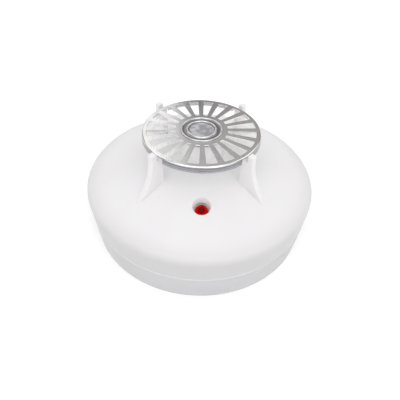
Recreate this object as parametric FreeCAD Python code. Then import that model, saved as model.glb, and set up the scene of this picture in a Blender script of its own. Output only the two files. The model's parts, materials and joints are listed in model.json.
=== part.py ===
import FreeCAD, Part

# Ceiling heat detector: a bayonet mounting base and a twist-off detector head.
# Millimetres, +Z up. The origin is the centre of the base's underside, and the
# status light is on the -Y side. Angles are degrees from +X, counterclockwise.

import math
import os

from FreeCAD import Vector

Z_AXIS = Vector(0, 0, 1)
ORIGIN = Vector(0, 0, 0)

# ---------------------------------------------------------------- driving sizes
# Outline
RIM_RADIUS = 50.0
SEAM_RADIUS = 49.57
FOOT_RADIUS = 48.9
SEAM_HEIGHT = 12.65
SEAM_GAP = 0.2
COVER_CHAMFER = 0.12
BASE_CHAMFER = 0.45
FOOT_CHAMFER = 0.2
WALL = 1.9
RIM_CORNER = 50.08
RIM_FILLET = 2.9
SHOULDER_FILLET = 0.8
TOWER_CHAMFER = 0.25
CONE_SLOPE = 0.32
CONE_REF_RADIUS = 22.2
CONE_REF_HEIGHT = 33.0

# Fins and claws that carry the heat collector
FIN_ANGLES = (45, 135, 225, 315)
FIN_THICKNESS = 2.4
FIN_INNER_RADIUS = 22.4
FIN_ROOT_RADIUS = 35.4
FIN_BURIED = 1.2
RIDGE_TOP = 46.0
RIDGE_MIDDLE = (29.35, 36.9)
RIDGE_FILLET = 0.25
CLAW_TOP = 47.6
CLAW_OUTER_RADIUS = 27.3
CLAW_INNER_RADIUS = 25.0
CLAW_SLOT_RADIUS = 24.6
CLAW_SLOT_FLOOR = 44.3
CLAW_FILLET = 0.45
SEAT_GAP = 0.05

# Heat collector
DISC_RADIUS = 24.4
DISC_TOP = 46.5
DISC_SHEET = 0.6
SKIRT_HEIGHT = 2.8
DISC_BEND = 0.9
DISC_HOLE_RADIUS = 7.7
SLOT_COUNT = 20
SLOT_INNER_RADIUS = 10.8
SLOT_OUTER_RADIUS = 22.3
SPOKE_INNER_WIDTH = 1.75
SPOKE_OUTER_WIDTH = 2.6
SLOT_CORNER = 0.3
NOTCH_WIDTH = 6.4
NOTCH_DEPTH = 1.5

# Thermostat
TOWER_RADIUS = 9.0
TOWER_BORE = 7.9
TOWER_TOP = 44.1
CAP_RADIUS = 7.5
CAP_SHEET = 0.4
CAP_BOTTOM = 41.4
CAP_FLOOR_DEPTH = 0.35
CAP_FLOOR_RADIUS = 5.0
CAP_GROOVE_DEPTH = 0.1
CAP_EDGE_RADIUS = 8.8
BEAD_HEIGHT = 0.5
INNER_BEAD = (5.3, 6.4)
OUTER_BEAD = (7.75, CAP_EDGE_RADIUS)
DIMPLE_SPHERE = 2.6
DIMPLE_RISE = 0.16
DIMPLE_CIRCLE = 2.75
DIMPLE_COUNT = 6
HOUSING_RADIUS = 7.6
HOUSING_BOTTOM = 37.6
HOUSING_FLOOR = 41.2
HOUSING_SEAT = 44.0
HOUSING_TOP = 44.5
CLOSING_PLATE_BOTTOM = 35.6
CLOSING_PLATE_TOP = 37.5
DISH_HEIGHT = 45.2
PIN_RADIUS = 0.9
PIN_CLEARANCE = 0.06
PIN_TOP = 44.45
LEAF_PIVOT_X = -5.0
LEAF_END_X = 4.9
LEAF_HEIGHT = 40.0
LEAF_THICKNESS = 0.2
TAB_WIDTH = 3.0
TAB_BOTTOM = 30.5
BUTTON_X = 3.6
BUTTON_RADIUS = 1.1
SHELF_TOP = 37.95
LEAD_RADIUS = 0.8

# Status light
LED_RADIUS = 2.6
LED_CLEARANCE = 0.06
LED_POSITION = 28.8
LED_DOME_CENTRE = 28.35
LED_FLANGE_RADIUS = 2.95
LED_FLANGE_BOTTOM = 23.4
LED_FLANGE_THICKNESS = 1.0
LEAD_OFFSET = 1.27
LED_LEAD_RADIUS = 0.25
RECESS_RADIUS = 3.6
RECESS_FLOOR_RADIUS = 2.75
RECESS_FLOOR = 28.3
RECESS_EDGE = 0.15
RECESS_WALL = 1.3
RECESS_PLATE = 1.5

# Bayonet and rear chassis
FLOOR = 2.2
TUB_RADIUS = 42.5
TUB_BOTTOM = 7.4
TUB_FLOOR = 1.6
TUB_WALL = 1.6
FLANGE_RADIUS = 47.2
FLANGE_BOTTOM = 14.7
FLANGE_THICKNESS = 1.6
LUG_ANGLES = (90, 210, 330)
LUG_RADIUS = 45.9
LUG_HALF_SPAN = 8.0
LUG_THICKNESS = 1.4
HOOK_INNER_RADIUS = 43.0
HOOK_THICKNESS = 1.5
HOOK_CLEARANCE = 0.5
HOOK_SPAN = (-12.0, 9.0)
HOOK_STOP_SPAN = (-12.0, -9.3)
SCREW_ANGLES = (30, 150, 270)
PILLAR_POSITION = 38.6
PILLAR_RADIUS = 3.9
SCREW_HOLE = 1.7
SCREW_HEAD_HOLE = 3.0
SCREW_SEAT = TUB_BOTTOM + 2.3
BOSS_RADIUS = 3.6
BOSS_BORE = 1.5

# Circuit board
BOARD_RADIUS = 34.2
BOARD_BOTTOM = 15.0
BOARD_THICKNESS = 1.6
BOARD_TOP = BOARD_BOTTOM + BOARD_THICKNESS
LEAD_TIP = BOARD_BOTTOM - 0.9
SOLDER_GAP = 0.02
POST_POSITION = 28.0
POST_RADIUS = 2.4
POST_ANGLES = (0, 60, 120, 180, 225, 315)
BOARD_SCREW_ANGLES = (0, 180)
BOARD_SCREW_HOLE = 1.05
BOARD_SCREW_HOLE_BOTTOM = 9.8

# Wiring terminals in the base
TERMINAL_ANGLES = (45, 135, 225, 315)
TERMINAL_POSITION = 33.0
TERMINAL_SCREW_OFFSET = -5.0
PLATE_BOTTOM = 3.6
PLATE_WIDTH = 6.0
BLADE_BOTTOM = 6.6
BLADE_HALF_WIDTH = 2.5
BLADE_SPAN = (5.0, 23.0)
STRIP = 0.6
SPRING_PRELOAD = 0.35
CLAMP_THICKNESS = 0.7
CONTACT_PIN_ARC = 11.0
CONTACT_PIN_RADIUS = 0.75
CONTACT_PIN_HOLE = 0.85
TERMINAL_SCREW_HOLE = 1.6

# Fixing to the ceiling
BASE_INNER_RADIUS = 46.7
LIP_RADII = (46.2, 47.2)
LIP_TOP = 14.2
FIXING_SPACING = 60.0
FIXING_SLOT_LENGTH = 9.0
FIXING_SLOT_WIDTH = 4.5
CABLE_HOLE_RADIUS = 10.0
RIB_HEIGHT = 0.9
UNDERSIDE_GROOVES = ((20.0, 21.2), (41.5, 43.0))
UNDERSIDE_GROOVE_DEPTH = 0.5

# Fused pieces sink this far into each other, and cutting tools run this far past a face
EMBED = 0.5
PAST = 1.0


# --------------------------------------------------------------------- helpers
def cone_height(radius):
    """Height of the cover's outer cone at a radius."""
    return CONE_REF_HEIGHT - CONE_SLOPE * (radius - CONE_REF_RADIUS)


def cylinder(radius, bottom, top, x=0.0, y=0.0):
    return Part.makeCylinder(radius, top - bottom, Vector(x, y, bottom), Z_AXIS)


def drill(radius, x=0.0, y=0.0, bottom=-PAST, top=CLAW_TOP + PAST):
    """Cutting tool for a round hole, through the whole detector unless told otherwise."""
    return cylinder(radius, bottom, top, x, y)


def ring(inner, outer, bottom, top, x=0.0, y=0.0):
    return cylinder(outer, bottom, top, x, y).cut(drill(inner, x, y, bottom - PAST, top + PAST))


def block(x0, x1, y0, y1, z0, z1):
    return Part.makeBox(x1 - x0, y1 - y0, z1 - z0, Vector(x0, y0, z0))


def rod(radius, start, end):
    direction = Vector(*end) - Vector(*start)
    return Part.makeCylinder(radius, direction.Length, Vector(*start), direction)


def turned(shape, angle, centre=ORIGIN):
    """A copy of shape turned about the vertical through centre."""
    copy = shape.copy()
    copy.rotate(centre, Z_AXIS, angle)
    return copy


def moved(shape, x=0.0, y=0.0, z=0.0):
    copy = shape.copy()
    copy.translate(Vector(x, y, z))
    return copy


def on_circle(radius, angle):
    a = math.radians(angle)
    return radius * math.cos(a), radius * math.sin(a)


def fused(shapes):
    first, rest = shapes[0], shapes[1:]
    return first.multiFuse(rest).removeSplitter() if rest else first


def line_edges(points):
    """Edges through (radius, height) points; a triple of points is an arc."""
    def at(p):
        return Vector(p[0], 0, p[1])

    edges = []
    last = points[0]
    for step in points[1:]:
        if isinstance(step[0], tuple):
            middle, end = step
            edges.append(Part.Arc(at(last), at(middle), at(end)).toShape())
            last = end
        else:
            edges.append(Part.LineSegment(at(last), at(step)).toShape())
            last = step
    return edges


def profile_face(points):
    """Closed face in the XZ plane. The outline ends where it starts."""
    return Part.Face(Part.Wire(line_edges(points)))


def revolved(points):
    return profile_face(points).revolve(ORIGIN, Z_AXIS, 360)


def plate_of(points, width):
    """A profile in the XZ plane given a width, centred on Y = 0."""
    face = profile_face(points)
    face.translate(Vector(0, -width / 2, 0))
    return face.extrude(Vector(0, width, 0))


def is_flat_at(edge, height):
    """Whether an edge lies level at a height."""
    tolerance = 0.01
    box = edge.BoundBox
    return abs(box.ZMin - height) < tolerance and abs(box.ZMax - height) < tolerance


def sector(inner, outer, bottom, top, start, end):
    """Part of a ring between two angles."""
    outline = profile_face([(inner, bottom), (outer, bottom), (outer, top),
                            (inner, top), (inner, bottom)])
    return turned(outline.revolve(ORIGIN, Z_AXIS, end - start), start)


def rounded(corner, before, after, radius):
    """Tangent points and middle of an arc that rounds a corner of a profile."""
    def unit(a, b):
        length = math.hypot(b[0] - a[0], b[1] - a[1])
        return (b[0] - a[0]) / length, (b[1] - a[1]) / length

    ux, uz = unit(corner, before)
    vx, vz = unit(corner, after)
    half = math.acos(ux * vx + uz * vz) / 2
    reach = radius / math.tan(half)
    first = (corner[0] + ux * reach, corner[1] + uz * reach)
    last = (corner[0] + vx * reach, corner[1] + vz * reach)
    bx, bz = ux + vx, uz + vz
    size = math.hypot(bx, bz)
    depth = radius / math.sin(half) - radius
    middle = (corner[0] + bx / size * depth, corner[1] + bz / size * depth)
    return first, middle, last


# ------------------------------------------------------------------ front cover
def cover_shell():
    seam = SEAM_HEIGHT + SEAM_GAP / 2
    corner = (RIM_CORNER, cone_height(RIM_CORNER))
    shoulder = (TOWER_RADIUS, cone_height(TOWER_RADIUS))
    foot = (SEAM_RADIUS, seam + COVER_CHAMFER)
    edge = (SEAM_RADIUS - COVER_CHAMFER, seam)
    rim_low, rim_mid, rim_high = rounded(corner, foot, shoulder, RIM_FILLET)
    inner_corner = (RIM_RADIUS - WALL, cone_height(RIM_RADIUS) - WALL)
    inner_foot = (SEAM_RADIUS - WALL, seam)
    inner_end = (TOWER_BORE, cone_height(TOWER_BORE) - WALL)
    in_low, in_mid, in_high = rounded(inner_corner, inner_foot, inner_end, RIM_FILLET - WALL / 2)
    root_low, root_mid, root_high = rounded(shoulder, rim_high, (TOWER_RADIUS, TOWER_TOP),
                                              SHOULDER_FILLET)
    return revolved([
        edge, foot, rim_low, (rim_mid, rim_high),
        root_low, (root_mid, root_high),
        (TOWER_RADIUS, TOWER_TOP - TOWER_CHAMFER), (TOWER_RADIUS - TOWER_CHAMFER, TOWER_TOP),
        (TOWER_BORE, TOWER_TOP), inner_end, in_high, (in_mid, in_low),
        inner_foot, edge,
    ])


def fin():
    """One free-standing fin along +X, with its claw and the seat for the disc."""
    seat = DISC_TOP - DISC_SHEET - SEAT_GAP
    inner_foot = (FIN_INNER_RADIUS, cone_height(FIN_INNER_RADIUS) - FIN_BURIED)
    root = (FIN_ROOT_RADIUS, cone_height(FIN_ROOT_RADIUS) + SEAT_GAP)
    body = plate_of([
        inner_foot,
        (FIN_INNER_RADIUS, seat),
        (CLAW_SLOT_RADIUS, seat),
        (CLAW_SLOT_RADIUS, CLAW_SLOT_FLOOR),
        (CLAW_INNER_RADIUS, CLAW_SLOT_FLOOR),
        (CLAW_INNER_RADIUS, CLAW_TOP),
        (CLAW_OUTER_RADIUS, CLAW_TOP),
        (CLAW_OUTER_RADIUS, RIDGE_TOP),
        (RIDGE_MIDDLE, root),
        (FIN_ROOT_RADIUS, cone_height(FIN_ROOT_RADIUS) - FIN_BURIED),
        inner_foot,
    ], FIN_THICKNESS)
    top_edges = [e for e in body.Edges if is_flat_at(e, CLAW_TOP)]
    body = body.makeFillet(CLAW_FILLET, top_edges)
    ridge_length = RIDGE_TOP - root[1]
    ridge_edges = [e for e in body.Edges
                   if e.Curve.TypeId == "Part::GeomCircle" and e.Length > ridge_length]
    return body.makeFillet(RIDGE_FILLET, ridge_edges)


def front_cover():
    inside_top = cone_height(PILLAR_POSITION) - WALL
    parts = [cover_shell()]
    parts += [turned(fin(), a) for a in FIN_ANGLES]
    boss_bottom = FLANGE_BOTTOM + FLANGE_THICKNESS + 0.1
    for a in SCREW_ANGLES:
        x, y = on_circle(PILLAR_POSITION, a)
        parts.append(ring(BOSS_BORE, BOSS_RADIUS, boss_bottom, inside_top + EMBED, x, y))
    cup_radius = RECESS_RADIUS + RECESS_WALL
    cup_top = cone_height(LED_POSITION + cup_radius) - EMBED
    parts.append(cylinder(cup_radius, RECESS_FLOOR - RECESS_PLATE, cup_top, 0, -LED_POSITION))
    body = fused(parts)
    led_hole = drill(LED_RADIUS + LED_CLEARANCE, 0, -LED_POSITION)
    body = body.cut(fused([recess_funnel(), led_hole]))
    mouth = [e for e in body.Edges if is_recess_mouth(e)]
    return body.makeFillet(RECESS_EDGE, mouth)


def recess_funnel():
    """Cutting tool for the light's recess, RECESS_RADIUS wide halfway up the sloping mouth."""
    depth = cone_height(LED_POSITION) - RECESS_FLOOR
    widening = RECESS_RADIUS - RECESS_FLOOR_RADIUS
    return Part.makeCone(RECESS_FLOOR_RADIUS, RECESS_RADIUS + widening, 2 * depth,
                         Vector(0, -LED_POSITION, RECESS_FLOOR), Z_AXIS)


def is_recess_mouth(edge):
    """The edge where the status light's recess meets the cone."""
    tolerance = 0.5
    box = edge.BoundBox
    return (abs(box.Center.y + LED_POSITION) < tolerance and abs(box.Center.x) < tolerance
            and abs(box.XLength - 2 * RECESS_RADIUS) < tolerance and box.ZMin > RECESS_FLOOR + PAST)


# --------------------------------------------------------------- heat collector
def collector_slot():
    """One slot between the spokes on +X and at one pitch from it."""
    pitch = math.radians(360 / SLOT_COUNT)

    def corner(radius, width, side):
        # a point beside a spoke's centre line, at half the spoke's width
        offset = width / 2
        along = math.sqrt(radius ** 2 - offset ** 2)
        spoke = 0 if side > 0 else pitch
        c, s = math.cos(spoke), math.sin(spoke)
        return Vector(along * c - side * offset * s, along * s + side * offset * c, 0)

    a = corner(SLOT_INNER_RADIUS, SPOKE_INNER_WIDTH, 1)
    b = corner(SLOT_OUTER_RADIUS, SPOKE_OUTER_WIDTH, 1)
    c = corner(SLOT_OUTER_RADIUS, SPOKE_OUTER_WIDTH, -1)
    d = corner(SLOT_INNER_RADIUS, SPOKE_INNER_WIDTH, -1)
    half = Vector(math.cos(pitch / 2), math.sin(pitch / 2), 0)
    wire = Part.Wire([
        Part.LineSegment(a, b).toShape(),
        Part.Arc(b, half * SLOT_OUTER_RADIUS, c).toShape(),
        Part.LineSegment(c, d).toShape(),
        Part.Arc(d, half * SLOT_INNER_RADIUS, a).toShape(),
    ])
    height = DISC_SHEET + 2 * PAST
    slot = Part.Face(wire).extrude(Vector(0, 0, height))
    upright = [e for e in slot.Edges if e.BoundBox.ZLength > DISC_SHEET]
    slot = slot.makeFillet(SLOT_CORNER, upright)
    return moved(slot, z=DISC_TOP - DISC_SHEET - PAST)


def heat_collector():
    low = DISC_TOP - SKIRT_HEIGHT
    under = DISC_TOP - DISC_SHEET
    inner_bend = DISC_BEND - DISC_SHEET
    out_low, out_mid, out_high = rounded(
        (DISC_RADIUS, DISC_TOP), (DISC_RADIUS, low), (0, DISC_TOP), DISC_BEND)
    in_low, in_mid, in_high = rounded(
        (DISC_RADIUS - DISC_SHEET, under), (DISC_RADIUS - DISC_SHEET, low), (0, under), inner_bend)
    sheet = revolved([
        (DISC_HOLE_RADIUS, under), in_high, (in_mid, in_low), (DISC_RADIUS - DISC_SHEET, low),
        (DISC_RADIUS, low), out_low, (out_mid, out_high), (DISC_HOLE_RADIUS, DISC_TOP),
        (DISC_HOLE_RADIUS, under),
    ])
    slot = collector_slot()
    pitch = 360 / SLOT_COUNT
    tools = [turned(slot, 270 + i * pitch) for i in range(SLOT_COUNT)]
    notch = block(DISC_RADIUS - NOTCH_DEPTH, DISC_RADIUS + PAST, -NOTCH_WIDTH / 2, NOTCH_WIDTH / 2,
                  low - PAST, under)
    tools += [turned(notch, a) for a in FIN_ANGLES]
    return sheet.cut(Part.makeCompound(tools))


def collector_ring():
    """Dark spring ring that holds the disc against the thermostat's cap."""
    gap = 0.1
    return ring(CAP_RADIUS + gap, TOWER_RADIUS - gap, TOWER_TOP + gap, DISC_TOP - DISC_SHEET)


# ------------------------------------------------------------------- thermostat
def bead(radii, foot, crest):
    """A rolled bead's arc between two radii: its start, and its middle and end."""
    inner, outer = radii
    return (inner, foot), (((inner + outer) / 2, crest), (outer, foot))


def thermostat_cap():
    """Drawn cap with two rolled beads and a sunk, dimpled centre."""
    top = DISC_TOP
    crest = top + BEAD_HEIGHT
    bead_foot = top + BEAD_HEIGHT / 3
    floor = top - CAP_FLOOR_DEPTH
    groove = top - CAP_GROOVE_DEPTH
    bore = CAP_RADIUS - CAP_SHEET
    inner_start, inner_arc = bead(INNER_BEAD, bead_foot, crest)
    outer_start, outer_arc = bead(OUTER_BEAD, bead_foot, crest)
    cap = revolved([
        (0, floor), (CAP_FLOOR_RADIUS, floor), inner_start, inner_arc,
        (INNER_BEAD[1] + CAP_SHEET / 2, groove), (bore, groove), (CAP_RADIUS, bead_foot),
        outer_start, outer_arc, (CAP_EDGE_RADIUS, top), (CAP_RADIUS, top),
        (CAP_RADIUS, CAP_BOTTOM), (bore, CAP_BOTTOM), (bore, groove - CAP_SHEET),
        (INNER_BEAD[1], groove - CAP_SHEET), (CAP_FLOOR_RADIUS, floor - CAP_SHEET),
        (0, floor - CAP_SHEET), (0, floor),
    ])
    dome = Part.makeSphere(DIMPLE_SPHERE, Vector(0, 0, floor - DIMPLE_SPHERE + DIMPLE_RISE))
    dome = dome.common(cylinder(DIMPLE_SPHERE, floor - CAP_SHEET / 2, floor + PAST))
    domes = [dome]
    for i in range(DIMPLE_COUNT):
        domes.append(moved(dome, *on_circle(DIMPLE_CIRCLE, 360 / DIMPLE_COUNT * i)))
    return cap.multiFuse(domes)


def bimetal_disc():
    """Dished snap disc, high at its centre when cold."""
    rim, flat, sheet, dish = 6.4, 1.6, 0.2, 0.45
    crown, edge = DISH_HEIGHT, DISH_HEIGHT - dish
    return revolved([
        (0, crown), (flat, crown), (rim, edge), (rim, edge - sheet),
        (flat, crown - sheet), (0, crown - sheet), (0, crown),
    ])


def thermostat_body():
    """Moulded guide with a rim for the snap disc and a chamber for the contacts."""
    guide = PIN_RADIUS + PIN_CLEARANCE
    chamber, rim_outer, rim_inner, seat_edge = 6.2, 7.0, 5.9, 5.6
    return revolved([
        (guide, HOUSING_FLOOR), (chamber, HOUSING_FLOOR), (chamber, HOUSING_BOTTOM),
        (HOUSING_RADIUS, HOUSING_BOTTOM), (HOUSING_RADIUS, HOUSING_FLOOR),
        (rim_outer, HOUSING_FLOOR), (rim_outer, HOUSING_TOP), (rim_inner, HOUSING_TOP),
        (seat_edge, HOUSING_SEAT), (guide, HOUSING_SEAT), (guide, HOUSING_FLOOR),
    ])


def thermostat_base():
    """Closing plate that carries the two contacts."""
    plate = cylinder(HOUSING_RADIUS, CLOSING_PLATE_BOTTOM, CLOSING_PLATE_TOP)
    half_width, half_depth = 0.35, 1.7
    slots = [block(x - half_width, x + half_width, -half_depth, half_depth,
                   CLOSING_PLATE_BOTTOM - PAST, CLOSING_PLATE_TOP + PAST)
             for x in (LEAF_PIVOT_X, -LEAF_PIVOT_X)]
    return plate.cut(fused(slots))


def transfer_pin():
    """Ceramic pin that passes the disc's snap on to the leaf."""
    clearance, tip_fillet = 0.25, 0.2
    pin = cylinder(PIN_RADIUS, LEAF_HEIGHT + clearance, PIN_TOP)
    return pin.makeFillet(tip_fillet, pin.Edges[:1])


def contact_leaf():
    """Moving leaf with its silver button, hinged at its riveted end."""
    half, side = LEAF_THICKNESS / 2, TAB_WIDTH / 2
    end_margin, button_drop, rivet_hole = 0.85, 0.7, 0.65
    leaf = block(LEAF_PIVOT_X - end_margin, LEAF_END_X, -side, side,
                 LEAF_HEIGHT - half, LEAF_HEIGHT + half)
    button = cylinder(BUTTON_RADIUS, LEAF_HEIGHT - button_drop, LEAF_HEIGHT + half, BUTTON_X, 0)
    return fused([leaf, button]).cut(drill(rivet_hole, LEAF_PIVOT_X, 0))


def tab(x, top):
    """Upright terminal tab through the closing plate."""
    half, side = STRIP / 2, TAB_WIDTH / 2
    return block(x - half, x + half, -side, side, TAB_BOTTOM, top)


def leaf_terminal():
    """Tab and rivet post that hold the leaf's fixed end."""
    x, side = LEAF_PIVOT_X, TAB_WIDTH / 2
    foot_low, foot_high, foot_half = 38.6, 39.6, 0.9
    head_low, head_high = LEAF_HEIGHT + 0.4, LEAF_HEIGHT + 0.9
    foot = block(x - foot_half, x + foot_half, -side, side, foot_low, foot_high)
    neck = cylinder(0.45, foot_high, head_low + LEAF_THICKNESS / 2, x, 0)
    head = cylinder(1.0, head_low, head_high, x, 0)
    return fused([tab(x, foot_low), foot, neck, head])


def fixed_contact():
    """Tab, shelf and button that the leaf closes on."""
    x, side = -LEAF_PIVOT_X, TAB_WIDTH / 2
    shelf_start, shelf_thickness, button_height = 2.2, 0.4, 0.2
    shelf = block(shelf_start, x + STRIP / 2, -side, side, SHELF_TOP - shelf_thickness, SHELF_TOP)
    button = cylinder(BUTTON_RADIUS, SHELF_TOP, SHELF_TOP + button_height, BUTTON_X, 0)
    return fused([tab(x, SHELF_TOP), shelf, button])


def thermostat_leads():
    """Two insulated leads from the terminal tabs down to the board."""
    leads = []
    for side in (-1, 1):
        x = side * (-LEAF_PIVOT_X)
        leads.append(rod(LEAD_RADIUS, (x, 0, BOARD_TOP + 0.6), (x, 0, TAB_BOTTOM - 0.1)))
    return Part.makeCompound(leads)


# ----------------------------------------------------------------- status light
def status_led():
    y = -LED_POSITION
    flange_top = LED_FLANGE_BOTTOM + LED_FLANGE_THICKNESS
    body = cylinder(LED_RADIUS, flange_top, LED_DOME_CENTRE, 0, y)
    dome = Part.makeSphere(LED_RADIUS, Vector(0, y, LED_DOME_CENTRE))
    flange = cylinder(LED_FLANGE_RADIUS, LED_FLANGE_BOTTOM, flange_top, 0, y)
    return fused([body, dome, flange])


def led_spacer():
    y = -LED_POSITION
    gap, hole = 0.1, 0.4
    tube = cylinder(LED_FLANGE_RADIUS, BOARD_TOP, LED_FLANGE_BOTTOM - gap, 0, y)
    holes = [drill(hole, x, y) for x in (-LEAD_OFFSET, LEAD_OFFSET)]
    return tube.cut(fused(holes))


def led_leads():
    y = -LED_POSITION
    return Part.makeCompound([cylinder(LED_LEAD_RADIUS, LEAD_TIP, LED_FLANGE_BOTTOM, x, y)
                              for x in (-LEAD_OFFSET, LEAD_OFFSET)])


# ----------------------------------------------------------------- rear chassis
def rear_chassis():
    floor_top = TUB_BOTTOM + TUB_FLOOR
    flange_top = FLANGE_BOTTOM + FLANGE_THICKNESS
    inside = TUB_RADIUS - TUB_WALL
    body = revolved([
        (0, TUB_BOTTOM), (TUB_RADIUS, TUB_BOTTOM), (TUB_RADIUS, FLANGE_BOTTOM),
        (FLANGE_RADIUS, FLANGE_BOTTOM), (FLANGE_RADIUS, flange_top), (inside, flange_top),
        (inside, floor_top), (0, floor_top), (0, TUB_BOTTOM),
    ])
    parts = [body]
    for a in LUG_ANGLES:
        parts.append(sector(TUB_RADIUS - EMBED, LUG_RADIUS, TUB_BOTTOM, TUB_BOTTOM + LUG_THICKNESS,
                            a - LUG_HALF_SPAN, a + LUG_HALF_SPAN))
    for a in SCREW_ANGLES:
        x, y = on_circle(PILLAR_POSITION, a)
        parts.append(cylinder(PILLAR_RADIUS, floor_top - EMBED, flange_top, x, y))
    for a in POST_ANGLES:
        x, y = on_circle(POST_POSITION, a)
        parts.append(cylinder(POST_RADIUS, floor_top - EMBED, BOARD_BOTTOM, x, y))
    tools = []
    for a in SCREW_ANGLES:
        x, y = on_circle(PILLAR_POSITION, a)
        tools += [drill(SCREW_HOLE, x, y), drill(SCREW_HEAD_HOLE, x, y, top=SCREW_SEAT)]
    for a in BOARD_SCREW_ANGLES:
        x, y = on_circle(POST_POSITION, a)
        tools.append(drill(BOARD_SCREW_HOLE, x, y, bottom=BOARD_SCREW_HOLE_BOTTOM))
    tools += [drill(CONTACT_PIN_HOLE, *contact_pin_spot(a)) for a in TERMINAL_ANGLES]
    return fused(parts).cut(fused(tools))


def machine_screw(head_radius, head_height, shaft_radius, length):
    """Cross-slotted pan-head screw, head up, with its head's underside at Z = 0."""
    head = cylinder(head_radius, 0, head_height)
    head = head.makeFillet(head_height * 0.45, [head.Edges[0]])
    shaft = cylinder(shaft_radius, -length, head_height / 8)
    arm, half = head_radius * 0.6, head_radius * 0.13
    low, high = head_height / 2, head_height + PAST
    cross = fused([block(-arm, arm, -half, half, low, high), block(-half, half, -arm, arm, low, high)])
    return fused([head, shaft]).cut(cross)


def chassis_screws():
    screw = machine_screw(head_radius=2.7, head_height=1.8, shaft_radius=1.4, length=13.5)
    screw.rotate(ORIGIN, Vector(1, 0, 0), 180)
    return Part.makeCompound([moved(screw, *on_circle(PILLAR_POSITION, a), SCREW_SEAT)
                              for a in SCREW_ANGLES])


def board_screws():
    screw = machine_screw(head_radius=1.9, head_height=1.4, shaft_radius=0.95, length=5.5)
    return Part.makeCompound([moved(screw, *on_circle(POST_POSITION, a), BOARD_TOP)
                              for a in BOARD_SCREW_ANGLES])


# ---------------------------------------------------------------- head contacts
def contact_pin_spot(angle):
    """Place of a contact pin, an arc's length on from its terminal's line."""
    return on_circle(TERMINAL_POSITION, angle + math.degrees(CONTACT_PIN_ARC / TERMINAL_POSITION))


def contact_blade(angle):
    """Arc-shaped blade under the chassis that meets one base spring."""
    start, end = angle + BLADE_SPAN[0], angle + BLADE_SPAN[1]
    inner, outer = TERMINAL_POSITION - BLADE_HALF_WIDTH, TERMINAL_POSITION + BLADE_HALF_WIDTH
    blade = sector(inner, outer, BLADE_BOTTOM, BLADE_BOTTOM + STRIP, start, end)
    return blade.cut(drill(CONTACT_PIN_HOLE, *contact_pin_spot(angle)))


def contact_pins():
    """Headed brass pins from the blades up into the board."""
    head_radius, head_height, overlap, tip = 1.5, 0.3, 0.1, 0.9
    pins = []
    for a in TERMINAL_ANGLES:
        x, y = contact_pin_spot(a)
        head = cylinder(head_radius, BLADE_BOTTOM - head_height, BLADE_BOTTOM, x, y)
        stem = cylinder(CONTACT_PIN_RADIUS, BLADE_BOTTOM - overlap, BOARD_TOP + tip, x, y)
        pins.append(fused([head, stem]))
    return Part.makeCompound(pins)


# --------------------------------------------------------- board and components
# Relay, chip and bridge: x from, x to, y from, y to, height above the board
RELAY = (-28.0, -14.0, 2.0, 12.0, 10.0)
CHIP = (-18.5, -9.0, -16.0, -9.7, 3.4)
BRIDGE = (12.0, 20.0, -14.5, -8.0, 3.2)
CHIP_LEGS_PER_SIDE = 4
# Capacitor cans: x, y, radius, height above the board
CAPACITORS = ((15.5, 14.0, 4.0, 10.5), (3.0, 21.5, 2.5, 7.5))
# Other parts: x, y, angle
RESISTORS = ((-6.0, -20.0, 90), (-3.0, 14.0, 0), (-3.0, 18.5, 0), (22.0, 2.0, 90), (18.5, 2.0, 90))
DIODES = ((10.5, -19.0, 0), (10.5, -22.5, 0))
TRANSISTORS = ((-5.0, -9.5, 0), (8.0, -5.0, 180))
DISC_CAPACITORS = ((-12.0, 18.5, 35), (25.5, -4.0, 80))
# Resistors and diodes: body radius, body length, and half the distance between their wires
RESISTOR_BODY = (1.15, 6.0)
DIODE_BODY = (0.9, 4.4)
RESISTOR_WAIST = 0.2
WIRE_REACH = 4.5
WIRE_RADIUS = 0.27
STAND_OFF = 0.3


def lead_holes():
    """Holes in the board for every wire that passes through it."""
    wire_hole = 0.4
    holes = [drill(0.45, x, -LED_POSITION) for x in (-LEAD_OFFSET, LEAD_OFFSET)]
    holes += [drill(CONTACT_PIN_HOLE, *contact_pin_spot(a)) for a in TERMINAL_ANGLES]
    holes += [drill(1.1, *on_circle(POST_POSITION, a)) for a in BOARD_SCREW_ANGLES]
    for x, y, angle in RESISTORS + DIODES:
        for reach in (-WIRE_REACH, WIRE_REACH):
            dx, dy = on_circle(reach, angle)
            holes.append(drill(wire_hole, x + dx, y + dy))
    return holes


def circuit_board():
    board = cylinder(BOARD_RADIUS, BOARD_BOTTOM, BOARD_TOP)
    return board.cut(fused(lead_holes()))


def axial_bodies(spots, radius, length, waist=0.0):
    """Bodies of two-lead parts lying on the board."""
    bodies = []
    z = BOARD_TOP + radius + STAND_OFF
    end, quarter = length / 2, length / 4
    for x, y, angle in spots:
        body = rod(radius - waist, (-end, 0, z), (end, 0, z))
        if waist:
            body = fused([body, rod(radius, (-end, 0, z), (-quarter, 0, z)),
                          rod(radius, (quarter, 0, z), (end, 0, z))])
        bodies.append(moved(turned(body, angle), x, y))
    return Part.makeCompound(bodies)


def axial_leads(spots, radius, length):
    """Bent wires that stand those parts' ends in the board."""
    run_radius, corner = 0.3, 0.35
    wires = []
    z = BOARD_TOP + radius + STAND_OFF
    for x, y, angle in spots:
        for side in (-1, 1):
            reach = side * WIRE_REACH
            run = rod(run_radius, (side * length / 2, 0, z), (reach + side * corner, 0, z))
            drop = rod(WIRE_RADIUS, (reach, 0, z), (reach, 0, LEAD_TIP))
            wires.append(moved(turned(fused([run, drop]), angle), x, y))
    return Part.makeCompound(wires)


def relay():
    x0, x1, y0, y1, height = RELAY
    edge = 0.5
    case = block(x0, x1, y0, y1, BOARD_TOP + STAND_OFF, BOARD_TOP + height)
    return case.makeFillet(edge, [e for e in case.Edges if e.BoundBox.ZMin > BOARD_TOP + PAST])


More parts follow.
